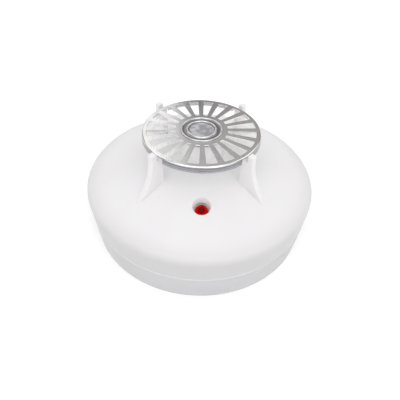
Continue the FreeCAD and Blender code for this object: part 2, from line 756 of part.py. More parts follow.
def chip(size):
    x0, x1, y0, y1, height = size
    stand, edge = 0.4, 0.35
    case = block(x0, x1, y0, y1, BOARD_TOP + stand, BOARD_TOP + height)
    return case.makeChamfer(edge, [e for e in case.Edges if e.BoundBox.ZMin > BOARD_TOP + PAST])


def chip_legs():
    """Two rows of bent legs beside the control chip."""
    half, thickness, reach, gap, shoulder = 0.3, 0.3, 0.9, 0.05, 1.5
    legs = []
    x0, x1, y0, y1, _ = CHIP
    pitch = (x1 - x0) / CHIP_LEGS_PER_SIDE
    for i in range(CHIP_LEGS_PER_SIDE):
        x = x0 + (i + 0.5) * pitch
        for y, side in ((y0, -1), (y1, 1)):
            near, far, bend = y + side * gap, y + side * reach, y + side * (reach - thickness)
            arm = block(x - half, x + half, min(near, far), max(near, far),
                        BOARD_TOP + shoulder - thickness, BOARD_TOP + shoulder)
            leg = block(x - half, x + half, min(bend, far), max(bend, far),
                        BOARD_TOP + SOLDER_GAP, BOARD_TOP + shoulder)
            legs.append(fused([arm, leg]))
    return Part.makeCompound(legs)


def can(x, y, radius, height):
    """Electrolytic capacitor can with its rolled groove."""
    low, high = BOARD_TOP + STAND_OFF, BOARD_TOP + height
    groove_height, groove_offset, groove_radius, edge = 1.6, 0.25, 0.5, 0.5
    body = cylinder(radius, low, high, x, y)
    groove = Part.makeTorus(radius + groove_offset, groove_radius, Vector(x, y, low + groove_height), Z_AXIS)
    body = body.cut(groove)
    return body.makeFillet(edge, [e for e in body.Edges if is_flat_at(e, high)])


def capacitors():
    return Part.makeCompound([can(*size) for size in CAPACITORS])


def transistors():
    """D-shaped bodies, flat side forward."""
    radius, flat, low, high = 2.35, -1.2, 2.0, 6.6
    bodies = []
    for x, y, angle in TRANSISTORS:
        body = cylinder(radius, BOARD_TOP + low, BOARD_TOP + high)
        body = body.cut(block(-2 * radius, 2 * radius, -2 * radius, flat, 0, CLAW_TOP))
        bodies.append(moved(turned(body, angle), x, y))
    return Part.makeCompound(bodies)


def transistor_legs():
    half, top = 0.2, 2.0
    legs = []
    for x, y, angle in TRANSISTORS:
        for offset in (-LEAD_OFFSET, 0, LEAD_OFFSET):
            leg = block(offset - half, offset + half, 0, 2 * half, BOARD_TOP + SOLDER_GAP, BOARD_TOP + top)
            legs.append(moved(turned(leg, angle), x, y))
    return Part.makeCompound(legs)


def disc_capacitors():
    """Round ceramic capacitors on edge, each with its two wires."""
    radius, half, centre, edge = 3.0, 0.9, 4.2, 0.7
    leg_radius, leg_offset, leg_top = 0.3, 1.5, 3.0
    bodies = []
    for x, y, angle in DISC_CAPACITORS:
        body = rod(radius, (0, -half, BOARD_TOP + centre), (0, half, BOARD_TOP + centre))
        body = body.makeFillet(edge, body.Edges[:1] + body.Edges[2:])
        legs = [cylinder(leg_radius, BOARD_TOP + SOLDER_GAP, BOARD_TOP + leg_top, offset, 0)
                for offset in (-leg_offset, leg_offset)]
        bodies.append(moved(turned(fused([body] + legs), angle), x, y))
    return Part.makeCompound(bodies)


# ---------------------------------------------------------------- mounting base
def base_tray():
    """Floor and wall, with the lip that the head's cover closes over."""
    seam = SEAM_HEIGHT - SEAM_GAP / 2
    lip_inner, lip_outer = LIP_RADII
    step = 0.6
    return revolved([
        (0, 0), (FOOT_RADIUS - FOOT_CHAMFER, 0), (FOOT_RADIUS, FOOT_CHAMFER),
        (SEAM_RADIUS, seam - BASE_CHAMFER), (SEAM_RADIUS - BASE_CHAMFER, seam),
        (lip_outer, seam), (lip_outer, LIP_TOP), (lip_inner, LIP_TOP),
        (lip_inner, seam - step), (BASE_INNER_RADIUS, seam - 2 * step),
        (BASE_INNER_RADIUS, FLOOR), (0, FLOOR), (0, 0),
    ])


def bayonet_hooks():
    """Ledges that hold the lugs down, each with a stop at its end."""
    low = TUB_BOTTOM + LUG_THICKNESS + HOOK_CLEARANCE
    high = low + HOOK_THICKNESS
    outer = BASE_INNER_RADIUS + EMBED
    hooks = []
    for a in LUG_ANGLES:
        hooks.append(sector(HOOK_INNER_RADIUS, outer, low, high, a + HOOK_SPAN[0], a + HOOK_SPAN[1]))
        hooks.append(sector(HOOK_INNER_RADIUS, outer, TUB_BOTTOM, high,
                            a + HOOK_STOP_SPAN[0], a + HOOK_STOP_SPAN[1]))
    return hooks


def terminal_seats():
    """Raised pads under the terminals' plates."""
    half_width, start, end = 4.2, -9.5, 2.0
    seat = block(-half_width, half_width, start, end, FLOOR - EMBED, PLATE_BOTTOM)
    seat = moved(seat, x=TERMINAL_POSITION)
    return [turned(seat, a) for a in TERMINAL_ANGLES]


def floor_ribs():
    """Ring round the cable entry and two ribs out from it."""
    half, collar, wall, end = 0.6, 3.0, 1.2, 24.0
    inner = CABLE_HOLE_RADIUS + collar
    low, high = FLOOR - EMBED, FLOOR + RIB_HEIGHT
    rib = block(-half, half, inner + wall / 2, end, low, high)
    return [turned(rib, 0), turned(rib, 180), ring(inner, inner + wall, low, high)]


def fixing_slot(x):
    half = FIXING_SLOT_WIDTH / 2
    straight = (FIXING_SLOT_LENGTH - FIXING_SLOT_WIDTH) / 2
    return [block(x - straight, x + straight, -half, half, -PAST, FLOOR + PAST),
            drill(half, x - straight), drill(half, x + straight)]


def mounting_base():
    body = fused([base_tray()] + bayonet_hooks() + terminal_seats() + floor_ribs())
    tools = [drill(CABLE_HOLE_RADIUS)]
    for x in (-FIXING_SPACING / 2, FIXING_SPACING / 2):
        tools += fixing_slot(x)
    tools += [drill(TERMINAL_SCREW_HOLE, *terminal_screw_spot(a), bottom=FLOOR - 1.4)
              for a in TERMINAL_ANGLES]
    tools += [ring(inner, outer, -PAST, UNDERSIDE_GROOVE_DEPTH) for inner, outer in UNDERSIDE_GROOVES]
    return body.cut(fused(tools))


def terminal_screw_spot(angle):
    """Place of a terminal's screw, a little clockwise of the terminal's line."""
    spot = turned(Part.Vertex(TERMINAL_POSITION, TERMINAL_SCREW_OFFSET, 0), angle).Point
    return spot.x, spot.y


def contact_spring(angle):
    """Plate and sprung tongue of one wiring terminal, in one strip of brass."""
    z = PLATE_BOTTOM
    crest = BLADE_BOTTOM - SPRING_PRELOAD
    tail, bend, rise, fall, tip = -9.0, 1.0, 5.2, 6.8, 8.8
    drop, slant = 1.6, 0.3
    strip = plate_of([
        (tail, z), (bend, z), (rise, crest - STRIP), (fall, crest - STRIP), (tip, crest - drop),
        (tip + 0.4, crest - drop + 0.4), (fall + slant, crest), (rise - slant, crest),
        (bend - slant, z + STRIP), (tail, z + STRIP), (tail, z),
    ], PLATE_WIDTH)
    strip = strip.cut(drill(TERMINAL_SCREW_HOLE, TERMINAL_SCREW_OFFSET, 0))
    return turned(moved(turned(strip, 90), x=TERMINAL_POSITION), angle)


def clamp_washers():
    half_width, half_length, hole = 3.2, 3.0, 1.7
    z = PLATE_BOTTOM + STRIP
    plate = block(-half_width, half_width, -half_length, half_length, z, z + CLAMP_THICKNESS)
    plate = plate.cut(drill(hole))
    return Part.makeCompound([moved(turned(plate, a), *terminal_screw_spot(a)) for a in TERMINAL_ANGLES])


def terminal_screws():
    z = PLATE_BOTTOM + STRIP + CLAMP_THICKNESS
    tip = 1.2
    screw = machine_screw(head_radius=2.7, head_height=1.5, shaft_radius=1.45, length=z - tip)
    return Part.makeCompound([moved(turned(screw, a), *terminal_screw_spot(a), z)
                              for a in TERMINAL_ANGLES])


# ------------------------------------------------------------------------ build
def build():
    nodes = {
        "mounting_base": mounting_base(),
        "clamp_washers": clamp_washers(),
        "terminal_screws": terminal_screws(),
        "front_cover": front_cover(),
        "heat_collector": heat_collector(),
        "collector_ring": collector_ring(),
        "thermostat_cap": thermostat_cap(),
        "bimetal_disc": bimetal_disc(),
        "thermostat_body": thermostat_body(),
        "thermostat_base": thermostat_base(),
        "transfer_pin": transfer_pin(),
        "contact_leaf": contact_leaf(),
        "leaf_terminal": leaf_terminal(),
        "fixed_contact": fixed_contact(),
        "thermostat_leads": thermostat_leads(),
        "status_led": status_led(),
        "led_spacer": led_spacer(),
        "led_leads": led_leads(),
        "rear_chassis": rear_chassis(),
        "chassis_screws": chassis_screws(),
        "contact_pins": contact_pins(),
        "circuit_board": circuit_board(),
        "board_screws": board_screws(),
        "relay": relay(),
        "control_chip": chip(CHIP),
        "chip_legs": chip_legs(),
        "bridge_rectifier": chip(BRIDGE),
        "capacitors": capacitors(),
        "resistors": axial_bodies(RESISTORS, *RESISTOR_BODY, waist=RESISTOR_WAIST),
        "resistor_leads": axial_leads(RESISTORS, *RESISTOR_BODY),
        "diodes": axial_bodies(DIODES, *DIODE_BODY),
        "diode_leads": axial_leads(DIODES, *DIODE_BODY),
        "transistors": transistors(),
        "transistor_legs": transistor_legs(),
        "disc_capacitors": disc_capacitors(),
    }
    for i, angle in enumerate(TERMINAL_ANGLES, 1):
        nodes[f"contact_spring_{i}"] = contact_spring(angle)
        nodes[f"contact_blade_{i}"] = contact_blade(angle)
    return nodes


os.makedirs("parts", exist_ok=True)
for name, shape in build().items():
    if not shape.isValid():
        print("not valid:", name)
    shape.exportStep(os.path.join("parts", name + ".step"))
    print(f"{name}: {len(shape.Solids)} solids, {shape.Volume:.1f} mm3")
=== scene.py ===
"""Looks of the ceiling heat detector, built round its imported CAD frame.

Sizes of the part are in millimetres: as they are in a Builder, and times MM in materials and for
the camera's place. Lamps, clipping and floor are in metres."""
import json
import math

import bmesh
import bpy
from mathutils import Matrix, Vector


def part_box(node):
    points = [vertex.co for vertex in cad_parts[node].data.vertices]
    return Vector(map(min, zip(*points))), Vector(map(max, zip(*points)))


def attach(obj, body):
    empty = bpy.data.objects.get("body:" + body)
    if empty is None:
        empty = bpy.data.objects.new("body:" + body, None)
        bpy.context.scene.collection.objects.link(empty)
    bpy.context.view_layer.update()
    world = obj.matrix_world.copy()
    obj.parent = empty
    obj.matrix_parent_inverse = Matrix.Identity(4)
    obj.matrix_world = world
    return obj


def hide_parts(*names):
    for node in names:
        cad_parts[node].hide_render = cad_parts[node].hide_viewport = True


MM = 0.001
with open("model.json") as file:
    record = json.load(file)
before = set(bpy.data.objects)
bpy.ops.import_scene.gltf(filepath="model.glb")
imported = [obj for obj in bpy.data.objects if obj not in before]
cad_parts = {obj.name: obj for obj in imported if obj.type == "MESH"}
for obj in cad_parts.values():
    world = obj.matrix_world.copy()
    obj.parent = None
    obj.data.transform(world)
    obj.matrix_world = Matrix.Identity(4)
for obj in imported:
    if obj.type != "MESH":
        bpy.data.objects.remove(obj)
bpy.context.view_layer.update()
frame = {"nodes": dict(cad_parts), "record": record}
NODES = frame["nodes"]


def node_box(name):
    """Low and high corner of a CAD node, in millimetres."""
    return [tuple(value / MM for value in corner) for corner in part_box(name)]


# ------------------------------------------------------------------ node helpers
class Nodes:
    """A node tree and short ways to add to it."""

    def __init__(self, tree):
        self.nodes, self.links = tree.nodes, tree.links

    def ramp(self, value, low, high, start, end):
        """Value mapped from low..high to start..end, clamped."""
        node = self.nodes.new("ShaderNodeMapRange")
        node.interpolation_type = "SMOOTHSTEP"
        for socket, number in zip(("From Min", "From Max", "To Min", "To Max"), (low, high, start, end)):
            node.inputs[socket].default_value = number
        self.links.new(value, node.inputs["Value"])
        return node.outputs["Result"]

    def fade(self, angle, start, end, low=0.0, high=1.0):
        """An angle mapped from start..end degrees to low..high, clamped."""
        return self.ramp(angle, math.radians(start), math.radians(end), low, high)

    def math(self, operation, a, b=0.0):
        """One step of arithmetic on outputs or numbers."""
        node = self.nodes.new("ShaderNodeMath")
        node.operation = operation
        for socket, value in zip(node.inputs, (a, b)):
            if isinstance(value, (int, float)):
                socket.default_value = value
            else:
                self.links.new(value, socket)
        return node.outputs["Value"]

    def mix(self, factor, a, b):
        """Blend of two colours, each a tuple or an output."""
        node = self.nodes.new("ShaderNodeMix")
        node.data_type = "RGBA"
        self.links.new(factor, node.inputs["Factor"])
        for socket, value in ((node.inputs[6], a), (node.inputs[7], b)):
            if isinstance(value, tuple):
                socket.default_value = (*value, 1)
            else:
                self.links.new(value, socket)
        return node.outputs[2]


# ------------------------------------------------------------- camera and light
CAMERA_TARGET = (0.38 * MM, -0.03 * MM, 5.75 * MM)
CAMERA_DISTANCE = 168.4 * MM
CAMERA_AZIMUTH = -2.204
CAMERA_ELEVATION = 45.04
CAMERA_ROLL = 2.11
CAMERA_LENS = 30.84
CAMERA_SENSOR = 36
CAMERA_CLIP = (0.005, 10)


def direction_to(bearing, elevation):
    """Unit vector for a bearing from the front, to the right, and an elevation, both in degrees."""
    bearing, elevation = math.radians(bearing), math.radians(elevation)
    return Vector((math.sin(bearing) * math.cos(elevation), -math.cos(bearing) * math.cos(elevation),
                   math.sin(elevation)))


def make_camera():
    """The viewpoint: in front, 45 degrees up, with a slight roll."""
    back = direction_to(CAMERA_AZIMUTH, CAMERA_ELEVATION)
    data = bpy.data.cameras.new("camera")
    data.lens = CAMERA_LENS
    data.sensor_width = CAMERA_SENSOR
    data.clip_start, data.clip_end = CAMERA_CLIP
    camera = bpy.data.objects.new("camera", data)
    bpy.context.collection.objects.link(camera)
    turn = (-back).to_track_quat("-Z", "Y").to_matrix().to_4x4()
    roll = Matrix.Rotation(math.radians(CAMERA_ROLL), 4, "Z")
    place = Matrix.Translation(Vector(CAMERA_TARGET) + back * CAMERA_DISTANCE)
    camera.matrix_world = place @ turn @ roll
    bpy.context.scene.camera = camera


LIGHT_DISTANCE = 1.9
# Bearing from the front, to the right, and elevation in degrees; size in metres; power in watts.
LIGHTS = {
    "front_left": (-45, 42, 1.6, 4.2),
    "front_right": (40, 42, 1.8, 6.6),
    "front_high": (-3, 62, 1.9, 5.5),
    "top": (0, 88, 1.7, 4.0),
    "rear_left": (-125, 45, 1.2, 2.9),
    "rear_right": (125, 45, 1.2, 3.2),
}


def area_light(name, bearing, elevation, size, power):
    """Round white lamp that faces the object."""
    data = bpy.data.lights.new(name, "AREA")
    data.shape = "DISK"
    data.size = size
    data.energy = power
    light = bpy.data.objects.new(name, data)
    bpy.context.collection.objects.link(light)
    direction = direction_to(bearing, elevation)
    light.location = direction * LIGHT_DISTANCE
    light.rotation_mode = "QUATERNION"
    light.rotation_quaternion = (-direction).to_track_quat("-Z", "Y")


# Colours of the surroundings, and the degrees over which they fade into each other. Bearings are
# from behind, to the right; heights are above the horizon.
SKY = (0.60, 0.60, 0.605)
HORIZON = (0.17, 0.17, 0.175)
FRONT = (0.70, 0.70, 0.70)
BACKDROP = (0.80, 0.80, 0.80)
MIRRORED_LEFT = (1.0, 1.0, 1.0)
MIRRORED_NEAR = (0.50, 0.49, 0.50)
MIRRORED_FAR = (0.15, 0.15, 0.16)
MIRRORED_RIGHT = (0.43, 0.405, 0.385)
HORIZON_TO_SKY = (20, 62)
FRONT_BEARINGS = (125, 160)
FRONT_HEIGHTS = (12, 30)
MIRRORED_BEARINGS = (20, 40)
MIRRORED_FOOT = (12, 22)
MIRRORED_HEAD = (46, 58)
MIRRORED_FAR_TO_NEAR = (27, 38)
MIRRORED_RIGHT_FROM = (1, 6)
MIRRORED_RIGHT_SHARE = 0.5
MIRRORED_LEFT_UP_TO = (-4.8, -0.6)
BACKDROP_HEIGHTS = (9, 18)


def make_light():
    """A white tent. The metal mirrors a low part of it behind, which is bright on the left only."""
    world = bpy.data.worlds.new("studio")
    bpy.context.scene.world = world
    world.use_nodes = True
    w = Nodes(world.node_tree)
    direction = w.nodes.new("ShaderNodeTexCoord").outputs["Generated"]
    split = w.nodes.new("ShaderNodeSeparateXYZ")
    w.links.new(direction, split.inputs["Vector"])
    bearing = w.math("ARCTAN2", split.outputs["X"], split.outputs["Y"])
    height = w.math("ARCSINE", split.outputs["Z"])
    from_behind = w.math("ABSOLUTE", bearing)
    colour = w.mix(w.fade(height, *HORIZON_TO_SKY), HORIZON, SKY)
    front = w.math("MULTIPLY", w.fade(from_behind, *FRONT_BEARINGS), w.fade(height, *FRONT_HEIGHTS, 1, 0))
    colour = w.mix(front, colour, FRONT)
    mirrored = w.mix(w.fade(height, *MIRRORED_FAR_TO_NEAR), MIRRORED_FAR, MIRRORED_NEAR)
    to_right = w.fade(bearing, *MIRRORED_RIGHT_FROM, 0, MIRRORED_RIGHT_SHARE)
    mirrored = w.mix(to_right, mirrored, MIRRORED_RIGHT)
    mirrored = w.mix(w.fade(bearing, *MIRRORED_LEFT_UP_TO, 1, 0), mirrored, MIRRORED_LEFT)
    band = w.math("MULTIPLY", w.fade(height, *MIRRORED_FOOT), w.fade(height, *MIRRORED_HEAD, 1, 0))
    band = w.math("MULTIPLY", band, w.fade(from_behind, *MIRRORED_BEARINGS, 1, 0))
    colour = w.mix(band, colour, mirrored)
    colour = w.mix(w.fade(height, *BACKDROP_HEIGHTS, 1, 0), colour, BACKDROP)
    w.links.new(colour, w.nodes["Background"].inputs["Color"])
    for name, (bearing, elevation, size, power) in LIGHTS.items():
        area_light(name, bearing, elevation, size, power)
    bpy.context.scene.view_settings.view_transform = "Standard"


# -------------------------------------------------------------- material helpers
class Shader(Nodes):
    """A Principled material and short ways to feed its sockets."""

    def __init__(self, name, colour, roughness, metallic=0.0, **sockets):
        self.material = bpy.data.materials.new(name)
        self.material.use_nodes = True
        self.material.diffuse_color = (*colour, 1)
        super().__init__(self.material.node_tree)
        self.bsdf = self.nodes["Principled BSDF"]
        self.set("Base Color", (*colour, 1))
        self.set("Roughness", roughness)
        self.set("Metallic", metallic)
        for socket, value in sockets.items():
            self.set(socket.replace("_", " "), value)
        self.place = self.nodes.new("ShaderNodeTexCoord").outputs["Object"]
        self.bump_normal = None

    def set(self, socket, value):
        self.bsdf.inputs[socket].default_value = value

    def feed(self, socket, output):
        self.links.new(output, self.bsdf.inputs[socket])

    def scaled(self, scale):
        """Object coordinates stretched by a scale per axis, in features per metre."""
        node = self.nodes.new("ShaderNodeMapping")
        node.inputs["Scale"].default_value = scale
        self.links.new(self.place, node.inputs["Vector"])
        return node.outputs["Vector"]

    def noise(self, scale, detail=3.0, rough=0.5, vector=None):
        node = self.nodes.new("ShaderNodeTexNoise")
        node.inputs["Scale"].default_value = scale
        node.inputs["Detail"].default_value = detail
        node.inputs["Roughness"].default_value = rough
        self.links.new(vector or self.place, node.inputs["Vector"])
        return node.outputs["Fac"]

    def mottle(self, scale, colour, other):
        """Base colour in soft patches of two colours."""
        patches = self.ramp(self.noise(scale, 2.0), 0.35, 0.65, 0.0, 1.0)
        self.feed("Base Color", self.mix(patches, colour, other))

    def bump(self, height, distance, strength=1.0):
        """Adds a height of this distance in metres to the surface."""
        node = self.nodes.new("ShaderNodeBump")
        node.inputs["Distance"].default_value = distance
        node.inputs["Strength"].default_value = strength
        self.links.new(height, node.inputs["Height"])
        if self.bump_normal is not None:
            self.links.new(self.bump_normal, node.inputs["Normal"])
        self.bump_normal = node.outputs["Normal"]
        self.feed("Normal", self.bump_normal)

    def cylindrical(self, y=0.0):
        """Distance from an upright axis through x = 0 and this y, and height, in metres."""
        split = self.nodes.new("ShaderNodeSeparateXYZ")
        self.links.new(self.place, split.inputs["Vector"])
        x, y = split.outputs["X"], self.math("SUBTRACT", split.outputs["Y"], y)
        squares = self.math("ADD", self.math("MULTIPLY", x, x), self.math("MULTIPLY", y, y))
        return self.math("SQRT", squares), split.outputs["Z"]

    def vector_of(self, value, scale):
        """A coordinate that varies only with one value."""
        node = self.nodes.new("ShaderNodeCombineXYZ")
        self.links.new(self.math("MULTIPLY", value, scale), node.inputs["X"])
        return node.outputs["Vector"]


# Painted shade: the cover's wall is coloured greyer, fading out up its shoulder.
WALL_PAINTED_SHADE_HEIGHT = 21 * MM
WALL_PAINTED_SHADE_FADE = 6 * MM
WALL_PAINTED_SHADE = 0.72
# Painted fill light: the cover is coloured whiter beneath the collector disc and in the light's recess.
PAINTED_FILL_WHITE = (0.985, 0.985, 0.985)
PAINTED_FILL_DISC_RADII = (17 * MM, 25 * MM)
PAINTED_FILL_RECESS_RADII = (3.3 * MM, 3.8 * MM)
SEAM_HALF_GAP = 0.1 * MM
SEAM_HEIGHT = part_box("front_cover")[0][2] - SEAM_HALF_GAP
# Painted highlight: a paler edge along the parting line, on the cover and on the base.
SEAM_PAINTED_HIGHLIGHT = (0.84, 0.835, 0.845)
# How far from the seam its painted highlight starts to fade, and how far off it is gone.
SEAM_HIGHLIGHT_FADE_ABOVE = (0.0, 0.7 * MM)
SEAM_HIGHLIGHT_FADE_BELOW = (0.35 * MM, 0.6 * MM)
CLOUD_TINT = (0.975, 0.970, 0.972)


def tinted(colour, factors):
    return tuple(c * f for c, f in zip(colour, factors))


def painted_wall_shade(s):
    """1 on the cover's wall, which is coloured greyer as painted shade, fading to 0 on its shoulder."""
    return s.ramp(s.cylindrical()[1], WALL_PAINTED_SHADE_HEIGHT, WALL_PAINTED_SHADE_HEIGHT + WALL_PAINTED_SHADE_FADE, 1.0, 0.0)


def painted_fill_light(s):
    """1 where whiter colour is painted as fill light: beneath the collector disc and in the light's
    recess.
    """
    low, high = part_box("status_led")
    under_disc = s.ramp(s.cylindrical()[0], *PAINTED_FILL_DISC_RADII, 1.0, 0.0)
    in_recess = s.ramp(s.cylindrical((low[1] + high[1]) / 2)[0], *PAINTED_FILL_RECESS_RADII, 1.0, 0.0)
    return s.math("MAXIMUM", under_disc, in_recess)


def cover_painted_light(s, tone, colour):
    """Painted shade greying the wall, painted fill light whitening beneath the disc and in the recess, and
    a painted highlight at the parting line.
    """
    tone = s.mix(painted_wall_shade(s), tone, tinted(colour, (WALL_PAINTED_SHADE,) * 3))
    tone = s.mix(painted_fill_light(s), tone, PAINTED_FILL_WHITE)
    near, far = SEAM_HIGHLIGHT_FADE_ABOVE
    edge = s.ramp(s.cylindrical()[1], SEAM_HEIGHT + near, SEAM_HEIGHT + far, 1.0, 0.0)
    return s.mix(edge, tone, SEAM_PAINTED_HIGHLIGHT)


def base_painted_highlight(s, tone, _colour):
    """A painted highlight: a paler edge at the parting line."""
    near, far = SEAM_HIGHLIGHT_FADE_BELOW
    edge = s.ramp(s.cylindrical()[1], SEAM_HEIGHT - far, SEAM_HEIGHT - near, 0.0, 1.0)
    return s.mix(edge, tone, SEAM_PAINTED_HIGHLIGHT)


def moulded(name, colour, roughness, grain, subsurface=0.0, toned=None):
    """Injection-moulded plastic: fine spark grain, faint flow clouds, uneven gloss."""
    s = Shader(name, colour, roughness, Specular_IOR_Level=0.45)
    if subsurface:
        s.set("Subsurface Weight", subsurface)
        s.set("Subsurface Radius", (1.0, 0.92, 0.9))
        s.set("Subsurface Scale", 1.5 * MM)
    tone = s.mix(s.ramp(s.noise(38, 2.0), 0.3, 0.7, 0.0, 1.0), colour, tinted(colour, CLOUD_TINT))
    s.feed("Base Color", toned(s, tone, colour) if toned else tone)
    s.feed("Roughness", s.ramp(s.noise(210, 3.0), 0.3, 0.7, roughness - 0.05, roughness + 0.06))
    s.bump(s.noise(5200, 2.0, 0.6), grain * MM, 0.6)
    s.bump(s.noise(120, 1.0), 0.02 * MM, 0.25)
    return s.material


def rolled_metal(name, colour, roughness, streak=(260, 2600, 2600), dirt=0.12):
    """Strip metal with drawn streaks, slight tarnish clouds and uneven polish."""
    s = Shader(name, colour, roughness, 1.0)
    streaks = s.noise(1.0, 3.0, 0.6, s.scaled(streak))
    clouds = s.ramp(s.noise(160, 4.0, 0.6), 0.35, 0.7, 0.0, 1.0)
    dark = tinted(colour, (1 - dirt,) * 3)
    s.feed("Base Color", s.mix(clouds, colour, dark))
    s.feed("Roughness", s.ramp(streaks, 0.3, 0.7, roughness * 0.75, roughness * 1.3))
    s.bump(streaks, 0.006 * MM, 0.5)
    return s.material


def plain_metals():
    """Materials of the springs, contacts, screws and wires."""
    return {
        "spring_steel": rolled_metal("spring_steel", (0.16, 0.16, 0.175), 0.38),
        "bimetal": rolled_metal("bimetal", (0.62, 0.57, 0.50), 0.30),
        "brass_strip": rolled_metal("brass_strip", (0.76, 0.56, 0.27), 0.27, dirt=0.25),
        "zinc_steel": rolled_metal("zinc_steel", (0.70, 0.71, 0.73), 0.30, streak=(900, 900, 900)),
        "tinned_wire": rolled_metal("tinned_wire", (0.76, 0.76, 0.77), 0.24),
    }


def small_parts():
    """Materials of the electronics and the thermostat's insides."""
    made = {
        "phenolic": moulded("phenolic", (0.085, 0.055, 0.038), 0.36, 0.012),
        "ceramic_white": moulded("ceramic_white", (0.82, 0.80, 0.74), 0.55, 0.014),
        "wire_insulation": moulded("wire_insulation", (0.42, 0.03, 0.03), 0.30, 0.003),
        "led_holder": moulded("led_holder", (0.035, 0.035, 0.037), 0.42, 0.008),
        "relay_case": moulded("relay_case", (0.03, 0.05, 0.16), 0.28, 0.004),
        "component_black": moulded("component_black", (0.032, 0.032, 0.035), 0.50, 0.012),
        "capacitor_sleeve": moulded("capacitor_sleeve", (0.025, 0.03, 0.07), 0.25, 0.003),
        "disc_ceramic": moulded("disc_ceramic", (0.60, 0.27, 0.07), 0.33, 0.006),
    }
    made["board_laminate"] = board_laminate()
    made["resistor_body"] = lacquered_resistor()
    return made


def board_laminate():
    """Green solder mask with copper tracks showing through and a faint glass weave."""
    s = Shader("board_laminate", (0.02, 0.13, 0.05), 0.30, Coat_Weight=0.35)
    tracks = s.nodes.new("ShaderNodeTexBrick")
    tracks.offset = 0.37
    tracks.inputs["Scale"].default_value = 260
    tracks.inputs["Mortar Size"].default_value = 0.03
    tracks.inputs["Bias"].default_value = 0.0
    s.links.new(s.place, tracks.inputs["Vector"])
    copper = s.ramp(tracks.outputs["Fac"], 0.4, 0.6, 0.0, 1.0)
    s.feed("Base Color", s.mix(copper, (0.018, 0.115, 0.045), (0.05, 0.21, 0.075)))
    s.bump(copper, 0.03 * MM, 0.5)
    s.bump(s.noise(3000, 2.0), 0.006 * MM, 0.4)
    return s.material


def lacquered_resistor():
    """Tan lacquer of slightly uneven thickness."""
    s = Shader("resistor_body", (0.62, 0.48, 0.30), 0.35)
    s.mottle(900, (0.64, 0.50, 0.31), (0.56, 0.42, 0.25))
    s.bump(s.noise(2200, 2.0), 0.01 * MM, 0.4)
    return s.material


# Painted shade and dark reflection: the collector's skirt is coloured darker, darkest in a band just under
# the lip.
SKIRT_SHADE_STARTS = (23.85 * MM, 24.0 * MM)
SKIRT_PAINTED_SHADE = (0.41, 0.41, 0.44)
UNDER_LIP_PAINTED_SHADE = (0.23, 0.23, 0.24)
# Depths under the disc's top: painted shade fades in over the first two, on the skirt and in a darker band
# under the lip, and the band fades out over the last pair.
SKIRT_SHADE_DEPTHS = (0.28 * MM, 0.75 * MM)
UNDER_LIP_SHADE_DEPTHS = (0.42 * MM, 0.62 * MM)
UNDER_LIP_SHADE_ENDS = (0.95 * MM, 1.15 * MM)


def collector_metal():
    """Stamped bright aluminium: faint rolling streaks, cloudy polish and a skirt darkened by painted
    shade.
    """
    s = Shader("collector_aluminium", (0.86, 0.855, 0.85), 0.20, 1.0)
    radius, height = s.cylindrical()
    streaks = s.noise(1.0, 3.0, 0.55, s.scaled((1500, 160, 1500)))
    clouds = s.ramp(s.noise(95, 3.0, 0.55), 0.35, 0.68, 0.0, 1.0)
    bright = s.mix(clouds, (0.90, 0.895, 0.885), (0.78, 0.775, 0.775))
    bright = s.mix(s.ramp(streaks, 0.45, 0.75, 0.0, 0.35), bright, (0.70, 0.695, 0.69))
    # Painted shade and dark reflection on the skirt and under the lip.
    depth = s.math("SUBTRACT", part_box("heat_collector")[1][2], height)
    under_lip_shade = s.math("MULTIPLY", s.ramp(depth, *UNDER_LIP_SHADE_DEPTHS, 0.0, 1.0),
                       s.ramp(depth, *UNDER_LIP_SHADE_ENDS, 1.0, 0.0))
    dull = s.mix(under_lip_shade, SKIRT_PAINTED_SHADE, UNDER_LIP_PAINTED_SHADE)
    skirt = s.math("MULTIPLY", s.ramp(depth, *SKIRT_SHADE_DEPTHS, 0.0, 1.0),
                   s.ramp(radius, *SKIRT_SHADE_STARTS, 0.0, 1.0))
    s.feed("Base Color", s.mix(skirt, bright, dull))
    s.feed("Roughness", s.math("ADD", s.ramp(streaks, 0.3, 0.7, 0.11, 0.18),
                               s.math("MULTIPLY", clouds, 0.04)))
    s.bump(streaks, 0.001 * MM, 0.4)
    s.bump(s.noise(130, 1.0), 0.008 * MM, 0.5)
    return s.material


# Painted shade: the cap is coloured darker where it lies deep, in the groove between its beads and beyond.
CAP_GROOVE_PAINTED_SHADE = (0.36, 0.36, 0.375)
CAP_GROOVE_SHADE_STARTS = (5.0 * MM, 5.15 * MM)
CAP_GROOVE_SHADE_DEPTHS = (0.14 * MM, 0.50 * MM)
CAP_CENTRE_ENDS = (4.6 * MM, 4.9 * MM)


